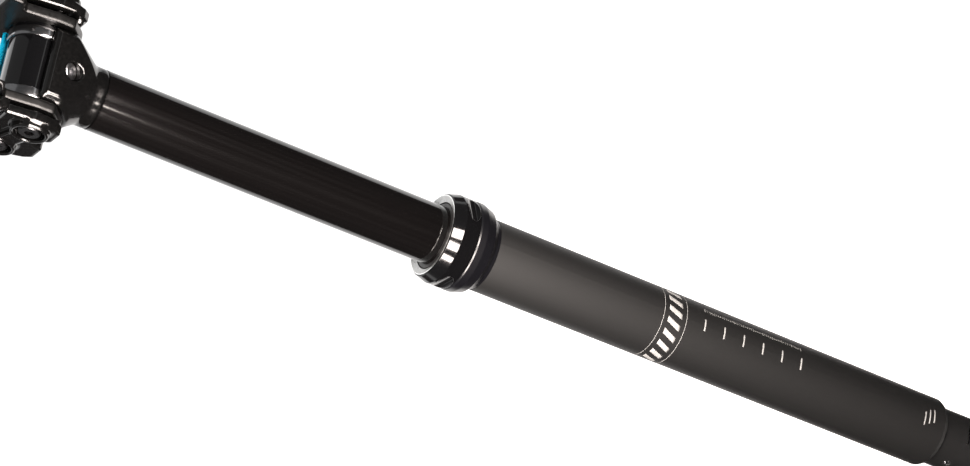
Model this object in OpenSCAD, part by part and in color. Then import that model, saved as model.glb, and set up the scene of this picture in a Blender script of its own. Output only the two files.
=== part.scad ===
// Dropper seatpost for a bicycle, with its gas cartridge, foot actuator and side-clamping head.
// Millimetres. +Z runs up the post, +X is the front of the saddle clamp and +Y its left side.
// The origin is on the axis, where the outer tube's full diameter starts above its lower chamfer.
// The post is drawn fully extended.

/* [Outer tube] */
// Room between the stanchion and the outer tube, which the bushings fill
bushing_room = 1.3; // [1.1:0.05:2]
// Wall of the outer tube
post_wall = 1.65; // [1.5:0.05:2]
// Width of the chamfer on the lower end of the outer tube
post_chamfer = 1; // [0.4:0.1:1.2]
// Length of the thread that carries the collar
collar_thread = 12; // [10:0.5:13]
// Depth of the thread below the outside of the outer tube
thread_step = 0.5; // [0.3:0.05:0.6]

/* [Travel] */
// How far the saddle drops
travel = 150; // [100:5:200]
// Length of stanchion that stays inside the post when it is extended
stanchion_in = 90; // [80:1:140]
// Gap left between the collar and the head when the post is lowered
lowered_gap = 4; // [2:0.5:15]

/* [Stanchion] */
// Outside diameter of the stanchion
stanchion_d = 25; // [24.4:0.1:25.4]
// Wall of the stanchion
stanchion_wall = 1.5; // [1.4:0.05:1.8]
// Depth of the seat for the lower bushing
bushing_seat = 0.3; // [0.2:0.05:0.4]
// Length of the lower bushing
lower_bushing_len = 18; // [12:1:22]
// Height of the lower bushing above the end of the stanchion
lower_bushing_rise = 2; // [1.5:0.5:4]
// Length of the upper bushing
upper_bushing_len = 30; // [22:1:36]
// Width of the slit in each bushing
bushing_slit = 1.2; // [0.8:0.1:2]

/* [Guide keys] */
// Number of keys that stop the stanchion from turning
key_count = 3; // [2:1:4]
// Width of a key
key_w = 3; // [2:0.1:4]
// Length of a key
key_len = 12; // [8:1:16]
// Depth of a key's pocket in the stanchion
key_pocket = 0.7; // [0.5:0.05:0.9]
// Depth of a key's groove in the outer tube
key_groove = 0.8; // [0.5:0.05:0.9]

/* [Collar] */
// Length of the collar's skirt, up to the fine line below the grip band
skirt_len = 12; // [11:0.5:13]
// Height of the skirt's hem above the outer tube
skirt_proud = 0.15; // [0.1:0.05:0.4]
// Length of the skirt's steep flare, hem included
flare_rise = 4.1; // [3.5:0.1:5]
// Height of the steep flare's upper end above the outer tube
flare_proud = 2.7; // [2.4:0.05:3]
// Length of the skirt where it reaches the grip band's radius
flare_len = 8.3; // [7.5:0.1:9]
// Length of the straight grip band
band_len = 7; // [6.8:0.1:8]
// Height of the grip band above the outer tube
band_proud = 4; // [3.7:0.05:4.4]
// Length of the tapered nose
nose_len = 5; // [4.4:0.1:6]
// Drop of the nose's radius from the grip band to the rim
nose_taper = 1.35; // [1:0.05:1.6]
// Number of spanner scallops round the grip band
scallop_count = 3; // [2:1:4]
// Angle of the first spanner scallop
scallop_turn = 30; // [0:1:90]
// Radius of the cutter of a spanner scallop
scallop_r = 4.1; // [3.6:0.1:4.6]
// Depth of a spanner scallop
scallop_depth = 1.2; // [0.8:0.1:1.4]
// Thickness of the inner flange under the wiper seal
flange_t = 2; // [1.5:0.1:3]
// Thickness of the wiper seal around the stanchion
wiper_t = 2.1; // [1.6:0.1:2.3]
// Depth of the wiper seal below the tip of the nose
wiper_inset = 1.2; // [0.8:0.1:1.5]

/* [Foot] */
// Diameter of the foot housing below the outer tube
foot_d = 26; // [25:0.1:27]
// Length of the foot housing below the outer tube
foot_len = 42; // [40:0.5:48]
// Length of the threaded plug inside the outer tube
plug_len = 12; // [10:0.5:16]
// Thickness of the web that holds the piston rod
web_t = 15; // [13:0.5:17]
// Diameter of the cup in the top of the plug
cup_d = 21; // [19:0.5:23]
// Thickness of the bottom-out bumper
bumper_t = 1.5; // [1:0.1:3]
// Thickness of the foot's bottom plate
bottom_plate_t = 6; // [5:0.5:8]
// Diameter of the cable housing's socket
cable_socket_d = 5.2; // [4.2:0.1:5.6]
// Depth of the cable housing's socket
cable_socket_depth = 4; // [3:0.5:4.5]
// Diameter of the cable's hole
cable_hole_d = 2; // [1.6:0.1:2.6]
// Height of the grub screw below the outer tube
grub_drop = 11; // [7:0.5:12]
// Direction of the grub screw, seen from above
grub_angle = -72; // [-85:1:-60]
// Diameter of the grub screw
grub_d = 4; // [3:0.5:5]

/* [Actuator lever] */
// Width of the lever's slot in the foot
slot_w = 8; // [7:0.5:10]
// Distance of the lever's pivot from the post's axis
pivot_x = 4.5; // [4:0.1:5]
// Distance of the cable anchor from the post's axis
anchor_x = 9; // [8.8:0.1:9.3]
// Diameter of the lever's pivot pin
pivot_d = 3; // [2.5:0.1:3.5]
// Diameter of the cable anchor
anchor_d = 4.8; // [4:0.1:5]
// Radius of the lever's nose under the release pin
nose_r = 2.4; // [2:0.1:2.8]
// Radius of the lever's boss round its pivot
boss_r = 3.4; // [3:0.1:3.6]
// Radius of the lever's tip round the cable anchor
tip_r = 3.5; // [3.2:0.1:3.6]
// Length of release pin that stands below the piston rod
pin_stick = 4; // [3.5:0.1:5]

/* [Gas cartridge] */
// Diameter of the piston rod
rod_d = 10; // [9:0.1:11]
// Bore of the piston rod
rod_bore = 4; // [3.4:0.1:5]
// Width of the rod's locknut across its flats
locknut_af = 15; // [14:0.5:16]
// Height of the rod's locknut
locknut_h = 5; // [4:0.5:7]
// Wall of the gas cylinder
cyl_wall = 1.3; // [1:0.1:1.6]
// Height of the retaining clip above the end of the stanchion
clip_rise = 4; // [3:0.5:6]
// Thickness of the retaining clip
clip_t = 1.2; // [1:0.1:1.6]
// Depth of the retaining clip's groove in the stanchion
clip_groove = 0.8; // [0.5:0.05:1]
// Radial width of the retaining clip
clip_w = 3.3; // [2.8:0.1:3.8]
// Length of the cylinder's gland
gland_len = 14; // [10:1:18]
// Radial thickness of the rod seal
rod_seal_t = 2.2; // [1.6:0.1:2.6]
// Height of the rod seal
rod_seal_h = 3; // [2:0.5:4]
// Thickness of the top-out bumper
top_out_t = 3.5; // [2:0.5:6]
// Length of the piston
piston_len = 12; // [10:0.5:16]
// Depth of the piston rod inside the piston
rod_in_piston = 8; // [6:0.5:9]
// Height of the ring seals on the pistons
ring_seal_h = 2.4; // [1.8:0.1:3]
// Depth of the ring seals' grooves
ring_seal_t = 1.8; // [1.2:0.1:2.2]
// Diameter of the valve poppet
poppet_d = 7; // [6:0.5:9]
// Height of the valve poppet
poppet_h = 2.5; // [2:0.25:4]
// Length of the floating piston
floating_len = 8; // [6:0.5:12]
// Room between the pistons when the post is lowered
oil_room = 8; // [7:0.5:12]
// Length of the cylinder's cap
cap_len = 10; // [8:0.5:14]
// Diameter of the fill valve
fill_valve_d = 8; // [7:0.5:10]
// Height of the fill valve above the cap
fill_valve_rise = 6; // [4:0.5:10]

/* [Head] */
// Length of the head's spigot inside the stanchion
spigot_len = 20; // [15:1:30]
// Bore of the head's spigot
spigot_bore = 14; // [12:0.5:15]
// Height of the tilt drum's axis above the stanchion's shoulder
head_rise = 27.5; // [26.5:0.5:30]
// Height of the straight neck below the shoulders
neck_straight = 5.2; // [4:0.1:6]
// Reach of the yoke from the drum's axis, to the front and to the rear
yoke_reach = 17; // [16.5:0.1:18]
// Depth of the yoke's upright ends below the drum's axis
yoke_depth = 8; // [7:0.1:9]
// Radius that rounds off the yoke's corners
corner_r = 21.5; // [20.5:0.1:23]
// Depth below the drum's axis where the corners reach that radius
corner_drop = 10; // [9:0.1:11]
// Depth of the yoke's lips below the drum's axis
lip_drop = 0.5; // [0:0.1:2]
// Width of the lips beside the drum
lip_w = 3.5; // [2.5:0.1:4.5]
// Slope of the tilt screws, measured from level
screw_slope = 36; // [35:1:37]
// Diameter of a tilt screw
tilt_screw_d = 4; // [3.5:0.5:4]
// Diameter of a tilt screw's head
tilt_head_d = 7; // [6.6:0.1:7.4]
// Height of a tilt screw's head
tilt_head_h = 3.6; // [3.2:0.1:3.8]
// Distance from the drum's axis to the seat of a tilt screw's head
tilt_seat_r = 14.4; // [14.2:0.1:14.6]

/* [Tilt drum] */
// Radius of the tilt drum
drum_r = 12; // [11.6:0.1:12.2]
// Bore radius of the tilt drum
drum_bore_r = 7.5; // [7.2:0.1:7.8]
// Height of the drum's two rings
ring_proud = 0.8; // [0.4:0.1:1]
// Width of a drum ring
ring_w = 4.4; // [3.5:0.1:4.6]
// Distance of a drum ring's middle from the middle of the head
ring_y = 13.2; // [12.8:0.1:13.4]
// Greatest tilt of the saddle clamp each way
tilt_range = 12; // [6:1:14]
// Thickness of the coloured inlay on top of the drum
inlay_t = 0.8; // [0.5:0.1:1.2]
// Half the length of the inlay
inlay_half = 14.2; // [13.4:0.1:14.6]
// Angle where the inlay starts, measured from the front
inlay_from = 82; // [76:1:95]
// Angle that the inlay covers
inlay_sweep = 50; // [30:1:70]

/* [Saddle clamp] */
// Distance between the saddle rails' axes
rail_gap = 44; // [44:0.5:46]
// Diameter of a saddle rail
rail_d = 7; // [7:0.1:8]
// Height of the rails above the drum's axis
rail_rise = 19; // [18.5:0.1:21]
// Length of rail that the clamp holds
rail_len = 40; // [36:0.5:44]
// Wall of a cradle between the rail and the drum's end
cradle_wall = 1.65; // [1.4:0.05:2]
// Half the gap between cradle and jaw at the rail
split_half = 1; // [0.6:0.1:1.4]
// Half the length of a cradle along the bike, just below the rail
cradle_top = 14.5; // [13.5:0.1:15.5]
// Half the length of a cradle along the bike, at the drum's axis
cradle_half = 17; // [16:0.1:18]
// Depth of a cradle below the drum's axis
cradle_depth = 14; // [13:0.5:16]
// Half the width of a cradle's foot
cradle_foot = 8; // [6:0.5:9]
// Thickness of a jaw's plate
jaw_plate_t = 4; // [3.5:0.1:4.5]
// Half the length of a jaw's plate along the bike, just below the rail
jaw_top = 15; // [14:0.1:16]
// Half the length of a jaw's plate along the bike, at the drum's axis
jaw_half = 18; // [17.5:0.1:19]
// Thickness of a jaw's rail bar
jaw_bar_t = 6.2; // [5.5:0.1:7]
// Height of the jaw's lip above and below a rail
jaw_lip = 2; // [1.5:0.1:3]
// Thickness of a jaw at its bolts
jaw_t = 7; // [6.6:0.1:8]
// Depth of a jaw's heels below the drum's axis
heel_drop = 12.6; // [12:0.1:14]
// Half the gap between a jaw's heels
heel_gap = 3; // [2:0.1:4]
// Distance of a clamp bolt from the drum's axis, along the bike
bolt_x = 10.4; // [10.2:0.1:11]
// Height of the middle between the two bolts above the drum's axis
bolt_rise = 1.35; // [0.8:0.05:2]
// Height of the rear bolt above that middle, and depth of the front bolt below it
bolt_slant = 2.65; // [2:0.05:3.2]
// Diameter of a clamp bolt
bolt_d = 5; // [4:0.5:5]
// Diameter of a clamp bolt's head
bolt_head_d = 9; // [8:0.1:9.5]
// Diameter of a clamp bolt's recess
recess_d = 12.2; // [11:0.1:12.6]
// Depth of a clamp bolt's recess
bolt_recess = 4.6; // [4:0.1:5]
// Wall of the cradle's boss round a clamp bolt
bolt_boss_wall = 1.5; // [1.3:0.1:2]
// Wall of the jaw's lobe round a bolt's recess
lobe_wall = 1.6; // [1.2:0.1:2]
// Flat cut on the ends of the lobes
lobe_flat = 0.5; // [0.3:0.1:0.8]

/* [Clearances] */
// Running clearance on the radius of sliding and turning fits
run_gap = 0.05; // [0.02:0.01:0.1]
// Clearance on the radius of pressed, bonded and threaded joints
fit_gap = 0.02; // [0.01:0.005:0.05]
// Clear air between parts that pass each other
air_gap = 0.3; // [0.2:0.05:0.5]

/* [Hidden] */
$fn = 96;

// Radii, from the stanchion outwards: the outer tube comes to the frame's seat-tube size, 30.9 mm
stanchion_r = stanchion_d / 2;
post_bore_r = stanchion_r + bushing_room;
post_r = post_bore_r + post_wall;
thread_r = post_r - thread_step;
stanchion_bore_r = stanchion_r - stanchion_wall;
cyl_r = stanchion_bore_r - run_gap;
cyl_bore_r = cyl_r - cyl_wall;
rod_r = rod_d / 2;
foot_r = foot_d / 2;
pin_r = rod_bore / 2 - 2 * run_gap;
wiper_r = stanchion_r + wiper_t;

// Heights along the post
bumper_top = plug_len + bumper_t;
stanchion_z = bumper_top + air_gap + travel;
collar_top = stanchion_z + stanchion_in;
collar_len = skirt_len + band_len + nose_len;
collar_z = collar_top - collar_len;
post_top = collar_z + collar_thread;
flange_z = post_top + air_gap;
wiper_z = flange_z + flange_t;
bushing_z = post_top - upper_bushing_len;
neck_z = collar_top + travel + lowered_gap;
drum_z = neck_z + head_rise;
spigot_z = neck_z - spigot_len;
key_z = stanchion_z + lower_bushing_rise + lower_bushing_len + key_w;
clip_z = stanchion_z + clip_rise;
cyl_z = clip_z + clip_t;
gland_top = cyl_z + gland_len;
top_out_top = gland_top + top_out_t;
piston_z = top_out_top + air_gap;
piston_top = piston_z + piston_len;
rod_share = pow(rod_r / cyl_bore_r, 2);
floating_z = piston_top + oil_room + travel * (1 - rod_share);
cap_z = spigot_z - cap_len;
slot_top = -web_t;
slot_bottom = bottom_plate_t - foot_len;
pin_z = slot_top - pin_stick;
pivot_z = pin_z - air_gap - nose_r;

// Head, measured from the drum's axis
rail_r = rail_d / 2 + run_gap;
rail_half = rail_len / 2;
drum_half = rail_gap / 2 - rail_r - cradle_wall;
yoke_half = drum_half - 2.6 * air_gap;
ring_r = drum_r + ring_proud;
split_in = rail_gap / 2 - split_half;
split_out = rail_gap / 2 + split_half;
jaw_face = split_out + jaw_t;
bolt_r = bolt_d / 2;
recess_r = recess_d / 2;
lobe_r = recess_r + lobe_wall;
tilt_screw_r = tilt_screw_d / 2;
tilt_pocket_r = tilt_head_d / 2 + air_gap;
nut_r = drum_bore_r - air_gap;

// A solid of revolution between two heights
module ring(inner, outer, z, h) {
    translate([0, 0, z]) difference() {
        cylinder(r = outer, h = h);
        translate([0, 0, -1]) cylinder(r = inner, h = h + 2);
    }
}

// A slit that lets a bushing spring into its seat
module slit_ring(inner, outer, z, h) {
    difference() {
        ring(inner, outer, z, h);
        translate([0, -bushing_slit / 2, z - 1]) cube([outer + 1, bushing_slit, h + 2]);
    }
}

// The places of the guide keys round the stanchion
module at_keys() {
    for (i = [0 : key_count - 1]) rotate([0, 0, 30 + i * 360 / key_count]) children();
}

// A cylinder across the bike, between two distances from the middle
module across(r, y0, y1, sides = 96) {
    translate([0, y1, 0]) rotate([90, 0, 0]) cylinder(r = r, h = y1 - y0, $fn = sides);
}

// The frame of one tilt screw: its axis is +Z, from the drum's axis outwards
module at_tilt_screw(side) {
    translate([0, 0, drum_z]) rotate([0, side * (90 + screw_slope), 0]) children();
}

// Outer tube

module outer_tube() {
    tube_end = -2 * post_chamfer;
    color([0.13, 0.13, 0.13]) difference() {
        rotate_extrude() polygon([
            [post_bore_r, tube_end], [post_r - post_chamfer, tube_end], [post_r, 0], [post_r, collar_z],
            [thread_r, collar_z], [thread_r, post_top], [post_bore_r, post_top]
        ]);
        at_keys() translate([0, -key_w / 2 - run_gap, tube_end - 1])
            cube([post_bore_r + key_groove, key_w + 2 * run_gap, bushing_z - tube_end]);
    }
}

module collar() {
    skirt_r = post_r + skirt_proud;
    flare_r = post_r + flare_proud;
    band_r = post_r + band_proud;
    rim_r = band_r - nose_taper;
    bore_r = thread_r + run_gap;
    nose_z = skirt_len + band_len;
    flange_in = stanchion_r + air_gap;
    flange_low = flange_z - collar_z;
    flange_top = wiper_z - collar_z;
    lead = 0.3;
    lead_h = 1.6;
    line = 0.35;
    bevel = 0.5;
    color([0.05, 0.05, 0.05]) translate([0, 0, collar_z]) difference() {
        rotate_extrude() union() {
            polygon([
                [wiper_r, 0], [skirt_r - lead, 0], [skirt_r, lead_h], [flare_r, flare_rise],
                [band_r, flare_len], [band_r, skirt_len - line], [band_r - line, skirt_len],
                [band_r, skirt_len + line], [band_r, nose_z], [rim_r, collar_len - bevel],
                [rim_r - bevel, collar_len], [rim_r - 2 * bevel, collar_len],
                [wiper_r, collar_len - wiper_inset]
            ]);
            polygon([
                [flange_in, flange_low], [wiper_r + bevel, flange_low],
                [wiper_r + bevel, flange_top], [flange_in, flange_top]
            ]);
        }
        translate([0, 0, -1]) cylinder(r = bore_r, h = flange_low + 1);
        for (i = [0 : scallop_count - 1]) rotate([0, 0, scallop_turn + i * 360 / scallop_count])
            translate([band_r - scallop_depth + scallop_r, band_r, skirt_len + band_len / 2 - line])
                rotate([90, 0, 0]) cylinder(r = scallop_r, h = 2 * band_r);
    }
}

module wiper_seal() {
    top = collar_top - wiper_inset;
    outer = wiper_r - fit_gap;
    lip_r = stanchion_r + 2 * run_gap;
    inner = stanchion_r + 2 * air_gap;
    lip_h = 0.6;
    color([0.03, 0.03, 0.03]) rotate_extrude() polygon([
        [inner, wiper_z], [outer, wiper_z], [outer, top - lip_h], [outer - lip_h, top],
        [lip_r, top], [lip_r, top - lip_h], [inner, top - 3 * lip_h]
    ]);
}

module upper_bushing() {
    color([0.35, 0.33, 0.28])
        slit_ring(stanchion_r + run_gap, post_bore_r - fit_gap, bushing_z, upper_bushing_len);
}

// Foot

module foot_housing() {
    plug_r = post_bore_r - fit_gap;
    edge = 1;
    color([0.11, 0.11, 0.11]) difference() {
        rotate_extrude() polygon([
            [0, -foot_len], [foot_r - edge, -foot_len], [foot_r, edge - foot_len], [foot_r, 0],
            [plug_r, 0], [plug_r, plug_len], [0, plug_len]
        ]);
        cylinder(d = cup_d, h = plug_len + 1);
        translate([0, 0, slot_top - 1]) cylinder(r = rod_r + fit_gap, h = web_t + 2);
        translate([-foot_d, -slot_w / 2, slot_bottom])
            cube([2 * foot_d, slot_w, slot_top - slot_bottom]);
        translate([pivot_x, 0, pivot_z]) across(pivot_d / 2 + fit_gap, -foot_d, foot_d);
        translate([anchor_x, 0, -foot_len - 1]) cylinder(d = cable_socket_d, h = cable_socket_depth + 1);
        translate([anchor_x, 0, -foot_len - 1]) cylinder(d = cable_hole_d, h = bottom_plate_t + 2);
        at_grub() translate([0, 0, rod_r - 1]) cylinder(d = grub_d + 2 * fit_gap, h = foot_r);
    }
}

// The grub screw's frame: +Z points out of the foot
module at_grub() {
    rotate([0, 0, grub_angle]) translate([0, 0, -grub_drop]) rotate([0, 90, 0]) children();
}

module foot_grub_screw() {
    key_af = grub_d / 2;
    color([0.75, 0.76, 0.78]) at_grub() difference() {
        translate([0, 0, rod_r + fit_gap]) cylinder(d = grub_d, h = foot_r - rod_r - air_gap);
        translate([0, 0, foot_r - grub_d / 2]) cylinder(r = key_af / sqrt(3), h = grub_d, $fn = 6);
    }
}

module bottom_bumper() {
    color([0.08, 0.08, 0.08]) ring(cup_d / 2, post_bore_r - air_gap, plug_len, bumper_t);
}

module lever_pivot_pin() {
    color([0.7, 0.71, 0.73]) translate([pivot_x, 0, pivot_z])
        across(pivot_d / 2, -foot_r + pivot_x / 2, foot_r - pivot_x / 2);
}

module actuator_lever() {
    width = slot_w - 2 * air_gap;
    reach = anchor_x - pivot_x;
    waist = 0.5;
    color([0.55, 0.56, 0.58]) translate([pivot_x, width / 2, pivot_z]) rotate([90, 0, 0])
    difference() {
        linear_extrude(height = width) difference() {
            union() {
                translate([-pivot_x, 0]) circle(r = nose_r);
                circle(r = boss_r);
                translate([reach, 0]) circle(r = tip_r);
                polygon([
                    [-pivot_x, waist - nose_r], [reach, waist - tip_r], [reach, tip_r - waist],
                    [-pivot_x, nose_r - waist]
                ]);
            }
            circle(r = pivot_d / 2 + run_gap);
            translate([reach, 0]) circle(r = anchor_d / 2 + fit_gap);
        }
        translate([reach, 0, width / 2]) rotate([90, 0, 0]) cylinder(d = cable_hole_d, h = 2 * tip_r);
    }
}

module cable_anchor() {
    half = slot_w / 2 - air_gap;
    color([0.75, 0.6, 0.3]) translate([anchor_x, 0, pivot_z]) difference() {
        across(anchor_d / 2, -half, half);
        cylinder(d = cable_hole_d, h = anchor_d + 1, center = true);
    }
}

// Gas cartridge

module piston_rod() {
    color([0.78, 0.79, 0.8]) ring(rod_bore / 2, rod_r, slot_top, piston_z + rod_in_piston - slot_top);
}

module rod_locknut() {
    color([0.6, 0.61, 0.62]) difference() {
        cylinder(r = locknut_af / sqrt(3), h = locknut_h, $fn = 6);
        translate([0, 0, -1]) cylinder(r = rod_r + fit_gap, h = locknut_h + 2);
    }
}

// A piston body with a ring groove half-way up
module piston_body(z, h) {
    groove_z = z + (h - ring_seal_h) / 2;
    difference() {
        translate([0, 0, z]) cylinder(r = cyl_bore_r - run_gap, h = h);
        ring(cyl_bore_r - run_gap - ring_seal_t, cyl_bore_r + 1, groove_z, ring_seal_h);
    }
}

// The ring seal that fills a piston's groove
module piston_ring(z, h) {
    groove_z = z + (h - ring_seal_h) / 2;
    outer = cyl_bore_r - run_gap;
    ring(outer - ring_seal_t + fit_gap, outer, groove_z + fit_gap, ring_seal_h - 2 * fit_gap);
}

module piston() {
    color([0.62, 0.63, 0.65]) difference() {
        piston_body(piston_z, piston_len);
        translate([0, 0, piston_z - 1]) cylinder(r = rod_r + fit_gap, h = rod_in_piston + 1);
        translate([0, 0, piston_z]) cylinder(d = rod_bore, h = piston_len + 1);
    }
}

module piston_seal() {
    color([0.04, 0.04, 0.04]) piston_ring(piston_z, piston_len);
}

module floating_piston() {
    color([0.62, 0.63, 0.65]) difference() {
        piston_body(floating_z, floating_len);
        translate([0, 0, floating_z + floating_len / 2]) cylinder(r = cyl_bore_r / 2, h = floating_len);
    }
}

module floating_seal() {
    color([0.04, 0.04, 0.04]) piston_ring(floating_z, floating_len);
}

module release_pin() {
    color([0.72, 0.73, 0.75]) translate([0, 0, pin_z]) cylinder(r = pin_r, h = piston_top - pin_z);
}

module valve_poppet() {
    color([0.7, 0.55, 0.3]) translate([0, 0, piston_top])
        cylinder(r1 = poppet_d / 2, r2 = poppet_d / 3, h = poppet_h);
}

module gas_cylinder() {
    color([0.68, 0.69, 0.7]) ring(cyl_bore_r, cyl_r, cyl_z, spigot_z - cyl_z);
}

module cylinder_gland() {
    color([0.6, 0.61, 0.63]) difference() {
        ring(rod_r + run_gap, cyl_bore_r - fit_gap, cyl_z, gland_len);
        translate([0, 0, gland_top - rod_seal_h]) cylinder(r = rod_r + rod_seal_t, h = rod_seal_h + 1);
    }
}

module rod_seal() {
    color([0.04, 0.04, 0.04])
        ring(rod_r + run_gap, rod_r + rod_seal_t - fit_gap, gland_top - rod_seal_h, rod_seal_h);
}

module cylinder_clip() {
    outer = stanchion_bore_r + clip_groove - fit_gap;
    ears = 5;
    color([0.5, 0.51, 0.52]) difference() {
        ring(outer - clip_w, outer, clip_z + fit_gap, clip_t - fit_gap);
        translate([0, -ears / 2, clip_z - 1]) cube([outer + 1, ears, clip_t + 2]);
    }
}

module top_out_bumper() {
    color([0.08, 0.08, 0.08]) ring(rod_r + air_gap, cyl_bore_r - air_gap, gland_top, top_out_t);
}

module cylinder_cap() {
    color([0.6, 0.61, 0.63]) ring(fill_valve_d / 2 + fit_gap, cyl_bore_r - fit_gap, cap_z, cap_len);
}

module fill_valve() {
    color([0.72, 0.58, 0.3]) union() {
        translate([0, 0, cap_z]) cylinder(d = fill_valve_d, h = cap_len);
        translate([0, 0, spigot_z]) cylinder(d = fill_valve_d * 0.75, h = fill_valve_rise);
    }
}

// Stanchion and head

module stanchion_tube() {
    seat_z = stanchion_z + lower_bushing_rise;
    seat_r = stanchion_r - bushing_seat;
    seat_top = seat_z + lower_bushing_len;
    lead = 0.6;
    color([0.03, 0.03, 0.03]) difference() {
        rotate_extrude() polygon([
            [stanchion_bore_r, stanchion_z], [stanchion_r - lead, stanchion_z],
            [stanchion_r, stanchion_z + lead], [stanchion_r, seat_z], [seat_r, seat_z],
            [seat_r, seat_top], [stanchion_r, seat_top], [stanchion_r, neck_z], [stanchion_bore_r, neck_z]
        ]);
        translate([0, 0, clip_z]) cylinder(r = stanchion_bore_r + clip_groove, h = clip_t);
        at_keys() translate([stanchion_r - key_pocket, -key_w / 2 - fit_gap, key_z - fit_gap])
            cube([stanchion_wall, key_w + 2 * fit_gap, key_len + 2 * fit_gap]);
    }
}

module lower_bushing() {
    color([0.35, 0.33, 0.28])
        slit_ring(stanchion_r - bushing_seat + fit_gap, post_bore_r - run_gap,
                  stanchion_z + lower_bushing_rise + fit_gap, lower_bushing_len - 2 * fit_gap);
}

module guide_keys() {
    inner = stanchion_r - key_pocket + fit_gap;
    outer = post_bore_r + key_groove - 2 * run_gap;
    color([0.78, 0.62, 0.3]) at_keys()
        translate([inner, -key_w / 2, key_z]) cube([outer - inner, key_w, key_len]);
}

// The forging swells from the stanchion's round to the yoke, whose corners it rounds off
module shoulders() {
    translate([0, 0, drum_z]) rotate_extrude() polygon([
        [0, -head_rise], [stanchion_r, -head_rise], [stanchion_r, neck_straight - head_rise],
        [corner_r, -corner_drop], [corner_r, 0], [0, 0]
    ]);
}

module head_forging() {
    lip_x = sqrt(pow(drum_r, 2) - pow(lip_drop, 2)) + lip_w;
    lip_low = -lip_drop - yoke_reach + lip_x;
    shoulder_z = neck_straight - head_rise;
    foot_x = stanchion_r + 2 * air_gap;
    ring_in = ring_y - ring_w / 2 - air_gap;
    bore_len = spigot_len + neck_straight;
    color([0.06, 0.06, 0.06]) difference() {
        union() {
            translate([0, 0, spigot_z]) cylinder(r = stanchion_bore_r - fit_gap, h = spigot_len + 1);
            intersection() {
                shoulders();
                translate([0, 0, drum_z]) side_extrude(-yoke_half, yoke_half) mirrored_outline([
                    [lip_x, -lip_drop], [yoke_reach, lip_low], [yoke_reach, -yoke_depth],
                    [foot_x, shoulder_z], [foot_x, -head_rise]
                ]);
            }
        }
        translate([0, 0, drum_z]) across(drum_r + run_gap, -yoke_half - 1, yoke_half + 1);
        for (side = [1, -1]) on_drum(side) across(ring_r + air_gap, ring_in, yoke_half + 1);
        for (side = [1, -1]) at_tilt_screw(side) {
            cylinder(r = tilt_screw_r + air_gap, h = corner_r);
            translate([0, 0, tilt_seat_r]) cylinder(r = tilt_pocket_r, h = corner_r);
        }
        translate([0, 0, spigot_z - 1]) cylinder(d = spigot_bore, h = bore_len + 1);
    }
}

// A socket screw along +Z with its head's seat at the given height
module socket_screw(shank_r, head_r, head_h, tip, seat) {
    bevel = head_r / 10;
    rim = seat + head_h - bevel;
    difference() {
        union() {
            translate([0, 0, tip]) cylinder(r = shank_r, h = seat - tip + bevel);
            translate([0, 0, seat]) cylinder(r = head_r, h = head_h - bevel);
            translate([0, 0, rim]) cylinder(r1 = head_r, r2 = head_r - bevel, h = bevel);
        }
        translate([0, 0, seat + head_h / 2]) cylinder(r = shank_r - bevel, h = head_h, $fn = 6);
    }
}

module tilt_screws() {
    tip = tilt_screw_r / sin(45) + 1;
    color([0.2, 0.2, 0.21]) for (side = [1, -1]) at_tilt_screw(side)
        socket_screw(tilt_screw_r, tilt_head_d / 2, tilt_head_h, tip, tilt_seat_r);
}

module tilt_nut() {
    half = ring_y - ring_w / 2 - 2 * air_gap;
    top = -tilt_screw_r / 2;
    color([0.5, 0.51, 0.52]) difference() {
        translate([0, 0, drum_z]) intersection() {
            across(nut_r, -half, half);
            translate([-nut_r, -half, -nut_r]) cube([2 * nut_r, 2 * half, nut_r + top]);
        }
        for (side = [1, -1]) at_tilt_screw(side) cylinder(r = tilt_screw_r + fit_gap, h = 2 * nut_r);
    }
}

// Tilt drum and rail clamps

module tilt_drum() {
    slot_y = tilt_screw_d + 2 * air_gap;
    slot_x = 2 * (tilt_screw_r + air_gap + drum_r * sin(tilt_range));
    color([0.02, 0.02, 0.02]) difference() {
        translate([0, 0, drum_z]) union() {
            across(drum_r, -drum_half, drum_half);
            for (side = [1, -1]) across(ring_r, side * ring_y - ring_w / 2, side * ring_y + ring_w / 2);
        }
        translate([0, 0, drum_z]) across(drum_bore_r, -drum_half - 1, drum_half + 1);
        for (side = [1, -1]) at_tilt_screw(side)
            translate([-slot_x / 2, -slot_y / 2, drum_bore_r / 2]) cube([slot_x, slot_y, drum_r]);
    }
}

module drum_inlay() {
    inner = ring_r + fit_gap;
    far = 2 * inner;
    color([0.0, 0.63, 0.86]) translate([0, inlay_half, drum_z]) rotate([90, 0, 0])
        rotate([0, 0, inlay_from]) linear_extrude(height = 2 * inlay_half) difference() {
            intersection() {
                circle(r = inner + inlay_t);
                polygon([[0, 0], [far, 0], [far * cos(inlay_sweep), far * sin(inlay_sweep)]]);
            }
            circle(r = inner);
        }
}

// A side-view outline that is the same at the front and the rear, from the points of its front half
module mirrored_outline(half) {
    polygon(concat(half, [for (i = [len(half) - 1 : -1 : 0]) [-half[i][0], half[i][1]]]));
}

// Outline of a cradle seen from the side: rail bar on top, straight ends and a tapered foot
module cradle_outline() {
    edge = 1;
    bar_low = rail_rise - rail_d / 2 - edge / 2;
    bar_top = rail_rise + rail_d / 2;
    mirrored_outline([
        [rail_half - edge, bar_top], [rail_half, bar_top - edge], [rail_half, bar_low + edge],
        [rail_half - edge, bar_low], [cradle_top + edge, bar_low - edge],
        [cradle_top, bar_low - 2 * edge], [cradle_half, 0], [cradle_half, -cradle_depth / 2],
        [cradle_foot + edge, edge - cradle_depth], [cradle_foot - edge, -cradle_depth]
    ]);
}

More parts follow.
